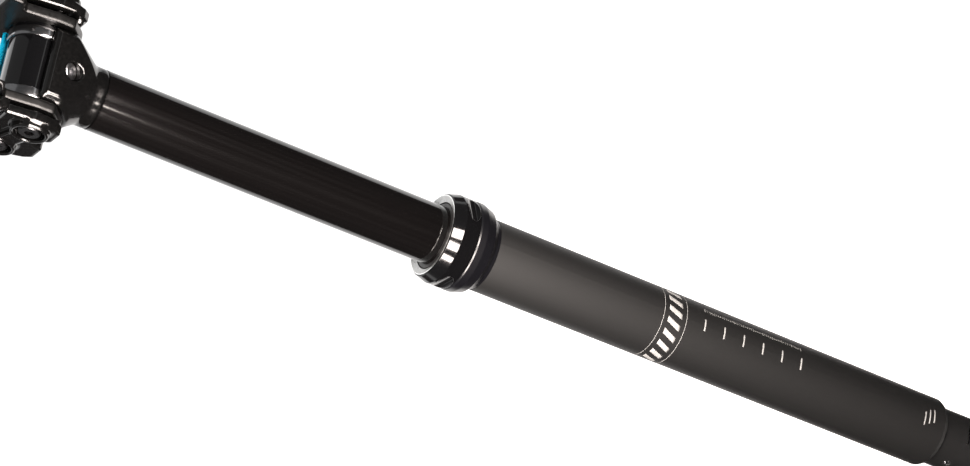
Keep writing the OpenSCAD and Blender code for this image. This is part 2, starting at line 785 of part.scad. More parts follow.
// Outline of a jaw's plate seen from the side: sloping ends and two heels with a gap between them
module jaw_outline() {
    edge = 1.5;
    bar_low = rail_rise - rail_d / 2 - jaw_lip;
    mirrored_outline([
        [jaw_top, bar_low + edge], [jaw_half, 0], [jaw_half, -heel_drop / 2],
        [jaw_half - edge, 2 * edge - heel_drop], [jaw_half - 3 * edge, -heel_drop],
        [heel_gap + edge, -heel_drop], [heel_gap, edge - heel_drop], [heel_gap - edge, -heel_drop / 2]
    ]);
}

// Section of a jaw's rail bar, seen along the bike
module jaw_bar_section() {
    edge = 2;
    bar_low = rail_rise - rail_d / 2 - jaw_lip;
    bar_top = rail_rise + rail_d / 2 + jaw_lip;
    bar_face = split_out + jaw_bar_t;
    polygon([
        [split_out, bar_low - edge], [split_out + jaw_plate_t, bar_low - edge],
        [bar_face, bar_low + edge / 2], [bar_face, bar_top - edge], [bar_face - edge, bar_top],
        [split_out, bar_top]
    ]);
}

// Extrudes a side-view outline across the bike, between two distances from the middle
module side_extrude(y0, y1) {
    translate([0, y1, 0]) rotate([90, 0, 0]) linear_extrude(height = y1 - y0) children();
}

// The rail that lies along the bike in the clamp's groove
module rail_groove() {
    translate([-rail_half - 1, rail_gap / 2, rail_rise]) rotate([0, 90, 0])
        cylinder(r = rail_r, h = rail_len + 2);
}

// The places of a side's two clamp bolts, with +Y along the bolt
module at_bolts() {
    for (side = [1, -1]) translate([side * bolt_x, 0, bolt_rise - side * bolt_slant]) children();
}

// Inner half of a rail clamp, drawn for the left side about the drum's axis
module cradle() {
    hub = drum_half - ring_y + ring_w / 2;
    boss_r = bolt_r + bolt_boss_wall;
    difference() {
        union() {
            side_extrude(drum_half, split_in) cradle_outline();
            across(drum_bore_r - fit_gap, drum_half - hub, split_in);
            at_bolts() across(boss_r, drum_half, split_out - air_gap);
        }
        rail_groove();
        at_bolts() across(bolt_r + run_gap, drum_half - 1, split_out + 1);
    }
}

// The raised part of a jaw: a lobe round each bolt, and the web that joins them
module jaw_lobes() {
    flat_x = bolt_x + lobe_r - lobe_flat;
    web = recess_r - lobe_wall;
    intersection() {
        union() {
            at_bolts() across(lobe_r, split_out, jaw_face);
            side_extrude(split_out, jaw_face - lobe_wall / 2) polygon([
                [bolt_x, bolt_rise - bolt_slant - web], [bolt_x, bolt_rise - bolt_slant + web],
                [-bolt_x, bolt_rise + bolt_slant + web], [-bolt_x, bolt_rise + bolt_slant - web]
            ]);
        }
        translate([-flat_x, 0, -jaw_half]) cube([2 * flat_x, 2 * jaw_face, 2 * jaw_half]);
    }
}

// Outer half of a rail clamp, drawn for the left side about the drum's axis
module jaw() {
    pad = 3;
    difference() {
        union() {
            side_extrude(split_out, split_out + jaw_plate_t) jaw_outline();
            jaw_lobes();
            translate([-rail_half, 0, 0]) rotate([90, 0, 90])
                linear_extrude(height = rail_len) jaw_bar_section();
            for (side = [1, -1])
                translate([side * (cradle_half - 2 * pad) - pad, split_in, pad / 2 - heel_drop])
                    cube([2 * pad, 2 * split_half + pad, pad]);
        }
        rail_groove();
        at_bolts() across(bolt_r + air_gap, split_in - 1, jaw_face + 2);
        at_bolts() across(recess_r, jaw_face - bolt_recess, jaw_face + 2);
    }
}

module clamp_bolts() {
    seat = jaw_face - bolt_recess;
    tip = drum_half + air_gap;
    at_bolts() rotate([-90, 0, 0])
        socket_screw(bolt_r, bolt_head_d / 2, bolt_recess - 2 * air_gap, tip, seat);
}

// Puts a left-hand clamp piece on the drum's axis, on either side
module on_drum(side) {
    translate([0, 0, drum_z]) mirror([0, side < 0 ? 1 : 0, 0]) children();
}

module left_cradle() {
    color([0.05, 0.05, 0.05]) on_drum(1) cradle();
}

module right_cradle() {
    color([0.05, 0.05, 0.05]) on_drum(-1) cradle();
}

module left_jaw() {
    color([0.04, 0.04, 0.04]) on_drum(1) jaw();
}

module right_jaw() {
    color([0.04, 0.04, 0.04]) on_drum(-1) jaw();
}

module left_clamp_bolts() {
    color([0.2, 0.2, 0.21]) on_drum(1) clamp_bolts();
}

module right_clamp_bolts() {
    color([0.2, 0.2, 0.21]) on_drum(-1) clamp_bolts();
}

outer_tube();
collar();
wiper_seal();
upper_bushing();
foot_housing();
foot_grub_screw();
bottom_bumper();
piston_rod();
rod_locknut();
piston();
piston_seal();
lever_pivot_pin();
stanchion_tube();
head_forging();
lower_bushing();
guide_keys();
gas_cylinder();
cylinder_gland();
rod_seal();
cylinder_clip();
top_out_bumper();
cylinder_cap();
fill_valve();
tilt_screws();
tilt_nut();
floating_piston();
floating_seal();
release_pin();
valve_poppet();
actuator_lever();
cable_anchor();
tilt_drum();
drum_inlay();
left_cradle();
right_cradle();
left_jaw();
left_clamp_bolts();
right_jaw();
right_clamp_bolts();
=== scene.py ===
"""Dropper seatpost: the finishes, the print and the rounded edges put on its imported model."""

import math

import bmesh
import bpy
from mathutils import Matrix, Vector


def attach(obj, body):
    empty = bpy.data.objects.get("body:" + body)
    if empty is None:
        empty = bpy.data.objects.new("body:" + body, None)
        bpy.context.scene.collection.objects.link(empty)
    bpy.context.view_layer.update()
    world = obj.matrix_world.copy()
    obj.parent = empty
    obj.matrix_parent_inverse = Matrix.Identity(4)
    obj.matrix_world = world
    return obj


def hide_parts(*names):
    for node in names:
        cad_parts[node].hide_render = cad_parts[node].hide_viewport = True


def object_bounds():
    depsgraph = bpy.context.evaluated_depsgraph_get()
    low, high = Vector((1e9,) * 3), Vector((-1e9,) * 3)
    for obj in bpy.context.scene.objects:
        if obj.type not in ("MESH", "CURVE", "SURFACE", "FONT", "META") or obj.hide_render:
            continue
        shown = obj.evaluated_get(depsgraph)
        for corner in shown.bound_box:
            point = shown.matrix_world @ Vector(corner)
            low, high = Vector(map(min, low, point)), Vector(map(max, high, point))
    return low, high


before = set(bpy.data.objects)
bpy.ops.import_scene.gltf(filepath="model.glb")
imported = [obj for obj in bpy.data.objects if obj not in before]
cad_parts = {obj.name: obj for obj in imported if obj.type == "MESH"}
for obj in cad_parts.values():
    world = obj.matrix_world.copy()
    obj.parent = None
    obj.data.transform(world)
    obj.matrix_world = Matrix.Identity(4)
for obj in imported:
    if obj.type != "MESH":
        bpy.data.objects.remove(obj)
cad_box = [list(corner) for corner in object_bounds()]

# Outer tube.
# A drawn aluminium tube, bead blasted and anodised a matte charcoal black. It is held in the
# frame's seat tube, so its outside is plain apart from the print.


def new_finish(name, colour, roughness, metallic=0.0):
    """A material with its shader set to the values that are the same all over."""
    finish = bpy.data.materials.new(name)
    finish.use_nodes = True
    shader = shader_of(finish)
    shader.inputs["Base Color"].default_value = (*colour, 1)
    shader.inputs["Roughness"].default_value = roughness
    shader.inputs["Metallic"].default_value = metallic
    return finish


def shader_of(finish):
    """The one shader that a finish is made with."""
    return finish.node_tree.nodes["Principled BSDF"]


def object_place(finish, stretch):
    """Object coordinates, in metres, drawn out by the stretch along each axis."""
    nodes, links = finish.node_tree.nodes, finish.node_tree.links
    place = nodes.new("ShaderNodeTexCoord")
    mapping = nodes.new("ShaderNodeMapping")
    mapping.inputs["Scale"].default_value = stretch
    links.new(place.outputs["Object"], mapping.inputs["Vector"])
    return mapping.outputs["Vector"]


def add_grain(finish, stretch, scale, colours, roughness, bump):
    """A fine grain that varies the colour and the gloss and roughens the surface."""
    nodes, links = finish.node_tree.nodes, finish.node_tree.links
    shader = shader_of(finish)
    noise = nodes.new("ShaderNodeTexNoise")
    noise.inputs["Scale"].default_value = scale
    noise.inputs["Detail"].default_value = 4
    links.new(object_place(finish, stretch), noise.inputs["Vector"])
    ramp = nodes.new("ShaderNodeValToRGB")
    for stop, colour, position in zip(ramp.color_ramp.elements, colours, (0.35, 0.65)):
        stop.color = (*colour, 1)
        stop.position = position
    links.new(noise.outputs["Fac"], ramp.inputs["Fac"])
    links.new(ramp.outputs["Color"], shader.inputs["Base Color"])
    gloss = nodes.new("ShaderNodeMapRange")
    gloss.inputs["From Min"].default_value = 0.3
    gloss.inputs["From Max"].default_value = 0.7
    gloss.inputs["To Min"].default_value = roughness[0]
    gloss.inputs["To Max"].default_value = roughness[1]
    links.new(noise.outputs["Fac"], gloss.inputs["Value"])
    links.new(gloss.outputs["Result"], shader.inputs["Roughness"])
    relief = nodes.new("ShaderNodeBump")
    relief.inputs["Strength"].default_value = 1
    relief.inputs["Distance"].default_value = bump
    links.new(noise.outputs["Fac"], relief.inputs["Height"])
    links.new(relief.outputs["Normal"], shader.inputs["Normal"])
    return finish


def dress(finish, *names):
    """Gives CAD nodes a finish in place of the plain colour they came with."""
    for name in names:
        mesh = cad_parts[name].data
        mesh.materials.clear()
        mesh.materials.append(finish)


matte_anodising = add_grain(
    new_finish("matte_anodising", (0.003, 0.003, 0.003), 0.56),
    stretch=(1, 1, 1), scale=2600, bump=0.000006,
    colours=((0.0025, 0.0025, 0.0025), (0.0035, 0.0035, 0.0035)), roughness=(0.54, 0.58),
)
dress(matte_anodising, "outer_tube")

# Tube print.
# Pale ink screen printed on the outer tube: two rings with a row of plain slanted bars between
# them, depth ticks 10 mm apart with a fine scale beside them, and three plain lines at the foot.

tube_r = 0.01545
ink_r = tube_r + 0.00003
ink_thickness = 0.00002
ink_step = math.radians(1.5)
print_shape = bmesh.new()


def print_patch(low, high, start, end, lean=0.0):
    """A patch of ink on the tube, between two heights and two angles in degrees."""
    start, end, lean = math.radians(start), math.radians(end), math.radians(lean)
    steps = max(1, math.ceil(abs(end - start) / ink_step))
    rows = max(1, math.ceil(abs(lean) / ink_step))
    grid = bmesh.ops.create_grid(print_shape, x_segments=steps, y_segments=rows, size=0.5)
    for vert in grid["verts"]:
        across, up = vert.co.x + 0.5, vert.co.y + 0.5
        turn = start + (end - start) * across + lean * (up - 0.5)
        height = low + (high - low) * up
        vert.co = (ink_r * math.cos(turn), ink_r * math.sin(turn), height)


def print_line(height, width, start, end):
    """A line of ink that runs round the tube at one height."""
    print_patch(height - width / 2, height + width / 2, start, end)


ring_heights, ring_width = (0.1373, 0.1485), 0.00022
for height in ring_heights:
    print_line(height, ring_width, 0, 360)
bar_low, bar_high, bar_lean = 0.1396, 0.1462, 10
bar_width, bar_pitch, middle_bar_turn = 9, 20, -16
for bar in range(-4, 5):
    middle = bar * bar_pitch + middle_bar_turn
    print_patch(bar_low, bar_high, middle - bar_width / 2, middle + bar_width / 2, lean=bar_lean)
top_tick, tick_pitch, tick_width = 0.1279, 0.01, 0.0007
tick_from, tick_to = -9, 11.4
for tick in range(6):
    print_line(top_tick - tick_pitch * tick, tick_width, tick_from, tick_to)
scale_turn, mark_pitch, mark_width = 30, 0.001, 0.00026
long_mark, short_mark = 3.4, 2
for mark in range(51):
    reach = long_mark if mark % 5 == 0 else short_mark
    print_line(top_tick - mark_pitch * mark, mark_width, scale_turn - reach, scale_turn + reach)
top_line, line_pitch, line_width = 0.0107, 0.0024, 0.0006
for line, (line_from, line_to) in enumerate(((-17, 6), (-12, 12), (-8, 15))):
    print_line(top_line - line_pitch * line, line_width, line_from, line_to)
bmesh.ops.remove_doubles(print_shape, verts=print_shape.verts, dist=0.000001)


def place_piece(name, shape, *finishes):
    """Makes a finished shape a piece of the scene, with its finishes in order."""
    mesh = bpy.data.meshes.new(name)
    shape.to_mesh(mesh)
    shape.free()
    for finish in finishes:
        mesh.materials.append(finish)
    piece = bpy.data.objects.new(name, mesh)
    bpy.context.scene.collection.objects.link(piece)
    return piece


pale_ink = add_grain(
    new_finish("pale_ink", (0.24, 0.24, 0.235), 0.55),
    stretch=(1, 1, 1), scale=3000, bump=0.000004,
    colours=((0.22, 0.22, 0.215), (0.26, 0.26, 0.255)), roughness=(0.5, 0.6),
)
tube_print = place_piece("tube_print", print_shape, pale_ink)
tube_print.data.shade_smooth()
ink_layer = tube_print.modifiers.new("layer", "SOLIDIFY")
ink_layer.thickness = ink_thickness
ink_layer.offset = -1
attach(tube_print, "post_body")

# Foot housing.
# The plug that closes the tube's lower end, turned from bar, slotted for the lever and anodised
# like the tube. A small steel grub screw in its side grips the piston rod.

foot_anodising = add_grain(
    new_finish("foot_anodising", (0.004, 0.004, 0.0042), 0.5),
    stretch=(1, 1, 6), scale=900, bump=0.000004,
    colours=((0.0035, 0.0035, 0.0037), (0.0045, 0.0045, 0.0047)), roughness=(0.47, 0.53),
)
dress(foot_anodising, "foot_housing")

# Steel pieces.
# The piston rod, the release pin and the lever's pin, ground from steel bar, and the nuts, the clip
# and the grub screw that hold other pieces. All are left bright.

ground_steel = add_grain(
    new_finish("ground_steel", (0.6, 0.6, 0.61), 0.2, metallic=1.0),
    stretch=(1, 1, 30), scale=420, bump=0.000002,
    colours=((0.54, 0.54, 0.55), (0.66, 0.66, 0.67)), roughness=(0.14, 0.28),
)
dress(ground_steel, "piston_rod", "release_pin", "lever_pivot_pin")
dress(ground_steel, "rod_locknut", "tilt_nut", "cylinder_clip", "foot_grub_screw")

# Turned aluminium pieces.
# The cartridge's cylinder, pistons, gland and cap and the foot's lever, turned or milled and
# clear anodised. Their tool marks run round them.

turned_alloy = add_grain(
    new_finish("turned_alloy", (0.62, 0.63, 0.65), 0.32, metallic=1.0),
    stretch=(1, 1, 60), scale=260, bump=0.000004,
    colours=((0.55, 0.56, 0.58), (0.69, 0.7, 0.72)), roughness=(0.26, 0.4),
)
dress(turned_alloy, "gas_cylinder", "cylinder_gland", "cylinder_cap", "piston", "floating_piston")
dress(turned_alloy, "actuator_lever")

# Brass pieces.
# The guide keys that stop the stanchion turning, the fill valve, the poppet and the cable's
# anchor, milled or turned from brass bar.

milled_brass = add_grain(
    new_finish("milled_brass", (0.72, 0.52, 0.22), 0.3, metallic=1.0),
    stretch=(1, 1, 8), scale=700, bump=0.000004,
    colours=((0.64, 0.45, 0.18), (0.78, 0.58, 0.27)), roughness=(0.24, 0.4),
)
dress(milled_brass, "guide_keys", "fill_valve", "valve_poppet", "cable_anchor")

# Bushings.
# Split rings of moulded bearing polymer, one under the collar and one in a seat on the
# stanchion's lower end. The stanchion slides on them.

bearing_polymer = add_grain(
    new_finish("bearing_polymer", (0.12, 0.11, 0.09), 0.55),
    stretch=(1, 1, 1), scale=1200, bump=0.00001,
    colours=((0.1, 0.092, 0.075), (0.14, 0.13, 0.108)), roughness=(0.48, 0.62),
)
dress(bearing_polymer, "upper_bushing", "lower_bushing")

# Rubber pieces.
# The wiper in the collar's nose, the cartridge's ring seals and the two bumpers at the ends of the
# travel, all moulded in black rubber.

moulded_rubber = add_grain(
    new_finish("moulded_rubber", (0.005, 0.005, 0.005), 0.5),
    stretch=(1, 1, 1), scale=1800, bump=0.000015,
    colours=((0.004, 0.004, 0.004), (0.006, 0.006, 0.006)), roughness=(0.42, 0.58),
)
dress(moulded_rubber, "wiper_seal", "bottom_bumper", "top_out_bumper")
dress(moulded_rubber, "piston_seal", "floating_seal", "rod_seal")

# Collar.
# The seal head that screws on the tube, turned from bar: a flared skirt left satin, then a fine
# line, and above it a polished grip band with milled scallops for a spanner and a tapered nose.
# Its cut edges and the dish in its front are bare metal.

gloss_anodising = add_grain(
    new_finish("gloss_anodising", (0.0015, 0.0015, 0.0017), 0.1),
    stretch=(1, 1, 40), scale=300, bump=0.0000006,
    colours=((0.0012, 0.0012, 0.0014), (0.0018, 0.0018, 0.002)), roughness=(0.07, 0.12),
)
satin_top = 0.2418
mask_blur = 0.00005


def satin_below(finish, height, colour, roughness):
    """Makes a finish satin below a height, where the gloss was masked off."""
    nodes, links = finish.node_tree.nodes, finish.node_tree.links
    shader = shader_of(finish)
    split = nodes.new("ShaderNodeSeparateXYZ")
    links.new(object_place(finish, (1, 1, 1)), split.inputs[0])
    above = nodes.new("ShaderNodeMapRange")
    above.inputs["From Min"].default_value = height - mask_blur
    above.inputs["From Max"].default_value = height + mask_blur
    links.new(split.outputs["Z"], above.inputs["Value"])
    # A Mix node has its number sockets first and its colour sockets after them.
    for socket, kind, satin, satin_in, gloss_in, mixed_out in (
        ("Base Color", "RGBA", (*colour, 1), 6, 7, 2),
        ("Roughness", "FLOAT", roughness, 2, 3, 0),
    ):
        blend = nodes.new("ShaderNodeMix")
        blend.data_type = kind
        blend.inputs[satin_in].default_value = satin
        links.new(above.outputs["Result"], blend.inputs[0])
        links.new(shader.inputs[socket].links[0].from_socket, blend.inputs[gloss_in])
        links.new(blend.outputs[mixed_out], shader.inputs[socket])


satin_below(gloss_anodising, satin_top, (0.0018, 0.0018, 0.0026), 0.3)
bare_alloy = add_grain(
    new_finish("bare_alloy", (0.7, 0.7, 0.69), 0.3, metallic=1.0),
    stretch=(1, 1, 1), scale=900, bump=0.000002,
    colours=((0.65, 0.65, 0.64), (0.75, 0.75, 0.74)), roughness=(0.26, 0.34),
)


def turned_profile(corners):
    """The points of a lathe profile, with each corner rounded to its own radius."""
    steps = 5
    points = []
    for index, (radius, height, round_to) in enumerate(corners):
        corner = Vector((radius, height))
        if round_to == 0:
            points.append(corner)
            continue
        before = Vector(corners[index - 1][:2]) - corner
        after = Vector(corners[(index + 1) % len(corners)][:2]) - corner
        half = before.angle(after) / 2
        reach = round_to / math.tan(half)
        start, end = corner + before.normalized() * reach, corner + after.normalized() * reach
        bisector = (before.normalized() + after.normalized()).normalized()
        centre = corner + bisector * round_to / math.sin(half)
        for step in range(steps + 1):
            spoke = start.lerp(end, step / steps) - centre
            points.append(centre + spoke.normalized() * round_to)
    return points


# Each corner of the collar's section: its radius, its height and the radius that rounds it.
collar_corners = (
    (0.015, 0.2298, 0), (0.0153, 0.2298, 0.0001), (0.0156, 0.2314, 0.0005),
    (0.01815, 0.2339, 0.0008), (0.01945, 0.2381, 0.002), (0.01945, 0.2411, 0.0012),
    (0.01908, 0.24175, 0.0005), (0.01945, 0.2423, 0.0003), (0.01945, 0.2488, 0.0008),
    (0.018, 0.2533, 0.0003), (0.0175, 0.2538, 0.0002), (0.0171, 0.2538, 0.0002),
    (0.0146, 0.2526, 0.0001), (0.0146, 0.2441, 0), (0.0128, 0.2441, 0),
    (0.0128, 0.2421, 0), (0.015, 0.2421, 0),
)
collar_shape = bmesh.new()
collar_rim = [
    collar_shape.verts.new((point.x, 0, point.y)) for point in turned_profile(collar_corners)
]
collar_loop = [
    collar_shape.edges.new((vert, collar_rim[(index + 1) % len(collar_rim)]))
    for index, vert in enumerate(collar_rim)
]
bmesh.ops.spin(
    collar_shape, geom=collar_rim + collar_loop, axis=(0, 0, 1), cent=(0, 0, 0),
    angle=2 * math.pi, steps=180, use_merge=True,
)
bmesh.ops.recalc_face_normals(collar_shape, faces=collar_shape.faces)
dish_low, dish_inner_r, dish_outer_r = 0.2524, 0.01455, 0.01755
for face in collar_shape.faces:
    middle = face.calc_center_median()
    in_dish = middle.z > dish_low and dish_inner_r < math.hypot(middle.x, middle.y) < dish_outer_r
    face.material_index = 1 if in_dish else 0
collar_turned = place_piece("collar_turned", collar_shape, gloss_anodising, bare_alloy)
scallop_r, scallop_len = 0.0041, 0.039
scallop_reach, scallop_z = 0.02235, 0.24495
cutter_shape = bmesh.new()
for turn in (30, 150, 270):
    bmesh.ops.create_cone(
        cutter_shape, cap_ends=True, segments=96, radius1=scallop_r, radius2=scallop_r,
        depth=scallop_len,
        matrix=Matrix.Rotation(math.radians(turn), 4, "Z")
        @ Matrix.Translation((scallop_reach, 0, scallop_z)) @ Matrix.Rotation(math.pi / 2, 4, "X"),
    )
cutter = place_piece("scallop_cutter", cutter_shape)
milling = collar_turned.modifiers.new("milling", "BOOLEAN")
milling.operation = "DIFFERENCE"
milling.object = cutter
milled = collar_turned.evaluated_get(bpy.context.evaluated_depsgraph_get())
collar_turned.data = bpy.data.meshes.new_from_object(milled)
collar_turned.modifiers.clear()
bpy.data.objects.remove(cutter)


def shade_turned(piece):
    """Smooth shading that leaves edges of more than 30 degrees sharp."""
    piece.data.shade_smooth()
    piece.data.set_sharp_from_angle(angle=math.radians(30))


def round_edges(piece, width, segments, angle):
    """Rounds the edges of a piece that are sharper than an angle in degrees."""
    edges = piece.modifiers.new("edges", "BEVEL")
    edges.width = width
    edges.segments = segments
    edges.limit_method = "ANGLE"
    edges.angle_limit = math.radians(angle)
    return edges


shade_turned(collar_turned)
round_edges(collar_turned, width=0.0003, segments=3, angle=19).material = 1
collar_faces = collar_turned.modifiers.new("faces", "WEIGHTED_NORMAL")
collar_faces.keep_sharp = True
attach(collar_turned, "post_body")
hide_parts("collar")

# Stanchion.
# The sliding tube, drawn and polished along its length, then anodised gloss black. Faint draw
# marks run along it.

drawn_gloss = add_grain(
    new_finish("drawn_gloss", (0.0015, 0.0013, 0.0013), 0.1),
    stretch=(1, 1, 0.01), scale=900, bump=0.0000003,
    colours=((0.0012, 0.001, 0.001), (0.0018, 0.0016, 0.0016)), roughness=(0.09, 0.12),
)
dress(drawn_gloss, "stanchion_tube")

# Head forging.
# The neck and yoke, forged in one piece, bonded into the stanchion, polished and anodised black.
# The die and the polishing leave its edges round.


def merged_copy(node):
    """The shape of a CAD node, with its loose triangles joined."""
    shape = bmesh.new()
    shape.from_mesh(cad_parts[node].data)
    bmesh.ops.remove_doubles(shape, verts=shape.verts, dist=0.000002)
    return shape


def forged_copy(node, body, finish, cell, passes):
    """A copy of a CAD node with all its edges worn round, shown in its place."""
    piece = place_piece(node + "_forged", merged_copy(node), finish)
    skin = piece.modifiers.new("skin", "REMESH")
    skin.mode = "VOXEL"
    skin.voxel_size = cell
    skin.use_smooth_shade = True
    wear = piece.modifiers.new("wear", "SMOOTH")
    wear.factor = 0.5
    wear.iterations = passes
    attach(piece, body)
    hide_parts(node)


polished_forging = add_grain(
    new_finish("polished_forging", (0.0015, 0.0015, 0.0015), 0.12),
    stretch=(1, 1, 1), scale=700, bump=0.0000008,
    colours=((0.0012, 0.0012, 0.0012), (0.0018, 0.0018, 0.0018)), roughness=(0.1, 0.16),
)
head_cell, head_passes = 0.0005, 14
forged_copy(
    "head_forging", "upper_body", polished_forging, head_cell, head_passes
)

# Tilt screws.
# Two socket screws in the neck's pockets pull the drum down into the yoke. They are steel, plated
# a plain grey.

plated_steel = add_grain(
    new_finish("plated_steel", (0.3, 0.3, 0.31), 0.3, metallic=1.0),
    stretch=(1, 1, 1), scale=1400, bump=0.000004,
    colours=((0.26, 0.26, 0.27), (0.34, 0.34, 0.35)), roughness=(0.26, 0.36),
)
dress(plated_steel, "tilt_screws")

# Tilt drum.
# A turned aluminium drum, polished and anodised black, that turns in the yoke and carries both
# clamps. The raised ring at each of its ends is polished bright.

polished_drum = add_grain(
    new_finish("polished_drum", (0.0012, 0.0012, 0.0014), 0.08),
    stretch=(1, 40, 1), scale=300, bump=0.000001,
    colours=((0.001, 0.001, 0.0012), (0.0014, 0.0014, 0.0016)), roughness=(0.06, 0.12),
)
ring_polish = add_grain(
    new_finish("ring_polish", (0.34, 0.34, 0.35), 0.14, metallic=1.0),
    stretch=(1, 40, 1), scale=300, bump=0.000001,
    colours=((0.3, 0.3, 0.31), (0.38, 0.38, 0.39)), roughness=(0.12, 0.18),
)
drum_z = 0.4353
ring_from_r, ring_from_y = 0.0122, 0.0105
ring_edge_from_r, ring_edge_angle = 0.0125, 20
drum_shape = merged_copy("tilt_drum")
bmesh.ops.dissolve_limit(
    drum_shape, angle_limit=math.radians(0.5), verts=drum_shape.verts, edges=drum_shape.edges
)
ring_edges = [
    edge for edge in drum_shape.edges
    if edge.is_manifold and edge.calc_face_angle() > math.radians(ring_edge_angle)
    and all(math.hypot(vert.co.x, vert.co.z - drum_z) > ring_edge_from_r for vert in edge.verts)
]
bmesh.ops.bevel(
    drum_shape, geom=ring_edges, offset=0.0006, offset_type="OFFSET", segments=4, profile=0.5,
    affect="EDGES", clamp_overlap=True, material=-1,
)
for face in drum_shape.faces:
    middle = face.calc_center_median()
    on_ring = math.hypot(middle.x, middle.z - drum_z) > ring_from_r and abs(middle.y) > ring_from_y
    face.material_index = 1 if on_ring else 0
drum_polished = place_piece("drum_polished", drum_shape, polished_drum, ring_polish)
shade_turned(drum_polished)
round_edges(drum_polished, width=0.0002, segments=3, angle=30).harden_normals = True
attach(drum_polished, "clamp_body")
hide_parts("tilt_drum")

# Drum pad.
# A curved pad in bright blue enamel, fixed along the rear of the drum's top and let into its
# rings. Its edges are eased.

blue_enamel = add_grain(
    new_finish("blue_enamel", (0.0, 0.19, 0.31), 0.25),
    stretch=(1, 1, 1), scale=900, bump=0.000001,
    colours=((0.0, 0.185, 0.3), (0.0, 0.195, 0.32)), roughness=(0.25, 0.3),
)
pad_inner_r, pad_outer_r = 0.012, 0.015
pad_foot_half, pad_top_half = 0.016, 0.0158
pad_start, pad_sweep = 116, 15
pad_shape = bmesh.new()
pad_corners = [
    pad_shape.verts.new((reach, wide, 0))
    for reach, wide in (
        (pad_inner_r, -pad_foot_half), (pad_outer_r, -pad_top_half),
        (pad_outer_r, pad_top_half), (pad_inner_r, pad_foot_half),
    )
]
pad_end = pad_shape.faces.new(pad_corners)
bmesh.ops.rotate(
    pad_shape, verts=pad_corners, cent=(0, 0, 0),
    matrix=Matrix.Rotation(math.radians(-pad_start), 3, "Y"),
)
bmesh.ops.spin(
    pad_shape, geom=[pad_end] + list(pad_end.edges) + pad_corners, axis=(0, 1, 0), cent=(0, 0, 0),
    angle=math.radians(-pad_sweep), steps=4, use_merge=False,
)
bmesh.ops.recalc_face_normals(pad_shape, faces=pad_shape.faces)
bmesh.ops.translate(pad_shape, verts=pad_shape.verts, vec=(0, 0, drum_z))
drum_pad = place_piece("drum_pad", pad_shape, blue_enamel)
shade_turned(drum_pad)
round_edges(drum_pad, width=0.0003, segments=4, angle=30).harden_normals = True
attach(drum_pad, "clamp_body")
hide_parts("drum_inlay")

# Rail clamps.
# Each side has a forged cradle fixed to the drum and a forged jaw that two socket bolts pull
# against it, with the saddle's rail between them. The cradles are satin black and the jaws
# polished black; the bolts are steel in black oxide.

satin_forging = add_grain(
    new_finish("satin_forging", (0.0015, 0.0015, 0.0015), 0.3),
    stretch=(1, 1, 1), scale=900, bump=0.0000015,
    colours=((0.0012, 0.0012, 0.0012), (0.0018, 0.0018, 0.0018)), roughness=(0.27, 0.34),
)
shader_of(satin_forging).inputs["Specular IOR Level"].default_value = 0.3
black_oxide = add_grain(
    new_finish("black_oxide", (0.05, 0.05, 0.053), 0.3, metallic=1.0),
    stretch=(1, 1, 1), scale=1400, bump=0.000004,
    colours=((0.04, 0.04, 0.042), (0.07, 0.07, 0.072)), roughness=(0.24, 0.38),
)
clamp_cell, clamp_passes = 0.0003, 40
for side in ("left", "right"):
    forged_copy(
        side + "_cradle", "clamp_body", satin_forging, clamp_cell, clamp_passes
    )
    forged_copy(
        side + "_jaw", side + "_jaw_body", polished_forging,
        clamp_cell, clamp_passes,
    )
    dress(black_oxide, side + "_clamp_bolts")

# Studio floor.
# A plain white sheet under the post, lit to white and still showing the post's shadow.

floor_z = cad_box[0][2] - 0.0005
floor_shape = bmesh.new()
bmesh.ops.create_grid(floor_shape, x_segments=1, y_segments=1, size=6)
bmesh.ops.translate(floor_shape, verts=floor_shape.verts, vec=(0, 0, floor_z))
floor = place_piece("studio_floor", floor_shape)
paper = bpy.data.materials.new("white_paper")
paper.use_nodes = True
paper_nodes, paper_links = paper.node_tree.nodes, paper.node_tree.links
paper_nodes.clear()
paper_diffuse = paper_nodes.new("ShaderNodeBsdfDiffuse")
paper_diffuse.inputs["Color"].default_value = (0.8, 0.8, 0.8, 1)
paper_glow = paper_nodes.new("ShaderNodeEmission")
paper_path = paper_nodes.new("ShaderNodeLightPath")
paper_seen = paper_path.outputs["Is Camera Ray"]
for kind in ("Is Glossy Ray", "Is Transmission Ray"):
    either = paper_nodes.new("ShaderNodeMath")
    either.operation = "ADD"
    paper_links.new(paper_seen, either.inputs[0])
    paper_links.new(paper_path.outputs[kind], either.inputs[1])
    paper_seen = either.outputs[0]
paper_level = paper_nodes.new("ShaderNodeMath")
paper_level.operation = "MULTIPLY"
paper_level.inputs[1].default_value = 0.9
paper_links.new(paper_seen, paper_level.inputs[0])
paper_links.new(paper_level.outputs[0], paper_glow.inputs["Strength"])
paper_sum = paper_nodes.new("ShaderNodeAddShader")
paper_out = paper_nodes.new("ShaderNodeOutputMaterial")
paper_links.new(paper_diffuse.outputs[0], paper_sum.inputs[0])
paper_links.new(paper_glow.outputs[0], paper_sum.inputs[1])
paper_links.new(paper_sum.outputs[0], paper_out.inputs["Surface"])
floor.data.materials.append(paper)

# Dark card.
# A dark sheet on the floor round the camera's side, seen in reflections only. It keeps the gloss
# black where the white floor would pale it.

camera_turn = math.radians(-27)


def round_the_post(reach, turn, height):
    """A place round the post, its turn in degrees counted from the camera's side."""
    heading = camera_turn + math.radians(turn)
    return (reach * math.cos(heading), reach * math.sin(heading), height)


